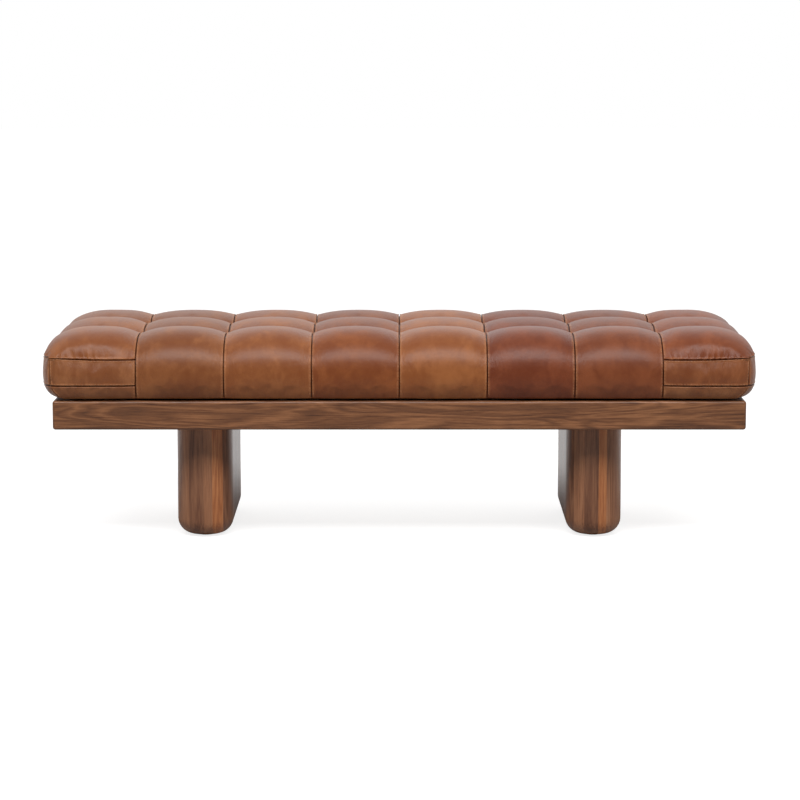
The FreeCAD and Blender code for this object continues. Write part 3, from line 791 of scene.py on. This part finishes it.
def leatherMaterial():
    make = Nodes("pullUpLeather")

    def attribute(name, output):
        node = make.add("Attribute")
        node.attribute_name = name
        return node.outputs[output]

    tone = attribute("tone", "Color")
    shift = attribute("panelShift", "Fac")
    gap = attribute("seamGap", "Fac")
    surface = make.add("UVMap")
    surface.uv_map = "surface"
    shifted = make.add("VectorMath", operation="ADD")
    combined = make.add("CombineXYZ")
    make.join(shift, combined.inputs["Z"])
    make.join(surface.outputs[0], shifted.inputs[0])
    make.join(combined.outputs[0], shifted.inputs[1])
    spot = shifted.outputs[0]
    patch = make.noise(make.mapped((1, 0.7, 1), source=spot), 13, 3, 0.5, 0.4)
    cloud = make.noise(make.mapped((1, 0.55, 1), source=spot), 34, 4, 0.6, 0.8)
    mottle = make.noise(spot, 55, 4, 0.6)
    grain = make.noise(spot, 900, 3, 0.6)
    pores = make.add("TexVoronoi", feature="DISTANCE_TO_EDGE")
    pores.inputs["Scale"].default_value = 620
    make.join(spot, pores.inputs["Vector"])
    creases = make.noise(make.mapped((1, 0.35, 1), source=spot), 95, 5, 0.62, 1.1)
    level = make.weighted((patch, 0.55), (cloud, 0.25), (mottle, 0.2))
    deep = make.range(level, 0.4, 0.6, 0.75, 0)
    colour = make.blend("MULTIPLY", deep, tone, (0.72, 0.56, 0.42, 1))
    pale = make.range(level, 0.48, 0.62, 0, 0.55)
    colour = make.blend("MIX", pale, colour, make.blend("MULTIPLY", 1.0, tone, (1.28, 1.3, 1.32, 1)))
    lipPale = make.range(gap, 0.0016, 0.0032, 0, 1)    # paler colour on the lips of the seams
    lipPale = make.math("MULTIPLY", lipPale, make.range(gap, 0.0036, 0.0075, 1, 0))
    lipPale = make.math("MULTIPLY", lipPale, make.range(mottle, 0.35, 0.65, 0.05, 0.35))
    colour = make.blend("MIX", lipPale, colour, linear(178, 118, 76))
    # painted shade: the colour is darkened towards a deep brown inside the seam groove, where shade falls
    dark = make.range(gap, 0.0004, 0.0018, 0.75, 0)
    colour = make.blend("MULTIPLY", dark, colour, (0.25, 0.16, 0.11, 1))
    rough = make.range(level, 0.35, 0.65, 0.36, 0.44)
    wrinkle = make.math("MULTIPLY", creases, make.range(gap, 0.0, 0.04, 1.0, 0.25))
    normal = make.bump(wrinkle, 0.55, 0.0035)
    normal = make.bump(make.math("ADD", grain, pores.outputs["Distance"]), 0.25, 0.0005, normal)
    make.shader.inputs["Specular IOR Level"].default_value = 0.3
    return make.finish(colour, rough, normal)


cushion.data.materials.clear()
cushion.data.materials.append(leatherMaterial())
leatherNodes = [name for name in frame["nodes"]
                if "cell" in name or "boxing" in name or name.endswith("end_panel")]
leatherNodes += ["bottom_panel", "fibre_fill"]
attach(cushion, "cushion")
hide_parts(*leatherNodes)

# top stitching: rows of short thread capsules that lie on the finished cover
stitchSet = {"pitch": 0.0066, "half": 0.0024, "radius": 0.00042, "lift": 0.00012}
surfaceTree = BVHTree.FromPolygons([vert.co for vert in fineData.vertices],
                                   [polygon.vertices for polygon in fineData.polygons])
oneMesh = bmesh.new()
bmesh.ops.create_uvsphere(oneMesh, u_segments=6, v_segments=4, radius=1)
oneStitch = bpy.data.meshes.new("stitch")
oneMesh.to_mesh(oneStitch)
oneMesh.free()
roundShape = [Vector((vert.co.z, vert.co.x, vert.co.y)) for vert in oneStitch.vertices]
stitchMesh = bmesh.new()
stitchCount = 0
for indices in stitchPaths:
    points = [cushionData.vertices[index].co for index in indices]
    length = sum((second - first).length for first, second in zip(points, points[1:]))
    count = int(length / stitchSet["pitch"])
    shares = [(step + part) / count for step in range(count) for part in (0.15, 0.85)]
    spots = resample(points, shares)
    for first, second in zip(spots[::2], spots[1::2]):
        place, normal = surfaceTree.find_nearest((first + second) / 2)[:2]
        ahead = (second - first).normalized()
        ahead = (ahead - normal * ahead.dot(normal)).normalized()
        aside = normal.cross(ahead)
        center = place + normal * stitchSet["lift"]
        shape = []
        for point in roundShape:
            across = aside * (point.y * stitchSet["radius"])
            shape.extend(center + ahead * (point.x * stitchSet["half"]) + across
                         + normal * (point.z * stitchSet["radius"]))
        oneStitch.vertices.foreach_set("co", shape)
        stitchMesh.from_mesh(oneStitch)
        stitchCount += 1
for face in stitchMesh.faces:
    face.smooth = True
bmesh.ops.recalc_face_normals(stitchMesh, faces=stitchMesh.faces)
stitchData = bpy.data.meshes.new("seam_stitching")
stitchMesh.to_mesh(stitchData)
stitchMesh.free()
stitching = bpy.data.objects.new("seam_stitching", stitchData)
scene.collection.objects.link(stitching)
stitchData.materials.append(plainMaterial("seamThread", linear(170, 122, 82), 0.6, 2400, 0.0, 0.0002))
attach(stitching, "cushion")
print("stitches", stitchCount)

# floor and light: a pale floor, a bright backdrop, dimmer towards the camera, and two soft boxes
floorSet = {"size": 20, "tone": (0.42, 0.42, 0.42, 1), "seen": 0.8, "mirrored": (0.3, 0.8, 0, 0.9)}
floorData = bpy.data.meshes.new("floor")
floorMesh = bmesh.new()
bmesh.ops.create_grid(floorMesh, x_segments=1, y_segments=1, size=floorSet["size"])
floorMesh.to_mesh(floorData)
floorMesh.free()
floor = bpy.data.objects.new("floor", floorData)
scene.collection.objects.link(floor)
floorMake = Nodes("floorWhite")
floorPath = floorMake.add("LightPath")
floorSpot = floorMake.add("SeparateXYZ")
floorMake.join(floorMake.add("NewGeometry").outputs["Position"], floorSpot.inputs[0])
behind = floorMake.math("MULTIPLY", floorPath.outputs["Is Glossy Ray"],
                        floorMake.range(floorSpot.outputs["Y"], *floorSet["mirrored"]))
seen = floorMake.math("MULTIPLY", floorPath.outputs["Is Camera Ray"], floorSet["seen"])
floorMake.join(floorMake.math("ADD", seen, behind), floorMake.shader.inputs["Emission Strength"])
floorMake.shader.inputs["Emission Color"].default_value = (1, 1, 1, 1)
floorMake.shader.inputs["Specular IOR Level"].default_value = 0
floorData.materials.append(floorMake.finish(floorSet["tone"], 0.9))
worldShade = (-0.5, 0.6, 0.16, 1.0)    # from the camera's side to the back: place and strength
world = bpy.data.worlds.new("studio")
world.use_nodes = True
worldNodes = world.node_tree.nodes
worldLinks = world.node_tree.links
backdrop = worldNodes["Background"]
worldPlace = worldNodes.new("ShaderNodeTexCoord")
apart = worldNodes.new("ShaderNodeSeparateXYZ")
worldLinks.new(worldPlace.outputs["Generated"], apart.inputs[0])
shade = worldNodes.new("ShaderNodeMapRange")
for socket, value in zip(shade.inputs[1:5], worldShade):
    socket.default_value = value
worldLinks.new(apart.outputs["Y"], shade.inputs[0])
worldPath = worldNodes.new("ShaderNodeLightPath")
choose = worldNodes.new("ShaderNodeMix")
worldLinks.new(worldPath.outputs["Is Camera Ray"], choose.inputs[0])
worldLinks.new(shade.outputs[0], choose.inputs[2])
choose.inputs[3].default_value = 1
worldLinks.new(choose.outputs[0], backdrop.inputs["Strength"])
backdrop.inputs["Color"].default_value = (1, 1, 1, 1)
scene.world = world


def softBox(name, place, target, size, power):
    data = bpy.data.lights.new(name, "AREA")
    data.shape = "RECTANGLE"
    data.size, data.size_y = size
    data.energy = power
    light = bpy.data.objects.new(name, data)
    light.location = place
    light.rotation_euler = (Vector(target) - Vector(place)).to_track_quat("-Z", "Y").to_euler()
    scene.collection.objects.link(light)


softBox("overhead", (0, -2.2, 2.9), (0, -0.2, 0.35), (4.6, 1.2), 155)
softBox("backFill", (0, 2.4, 1.7), (0, 1.2, 0), (3.6, 1.0), 7)
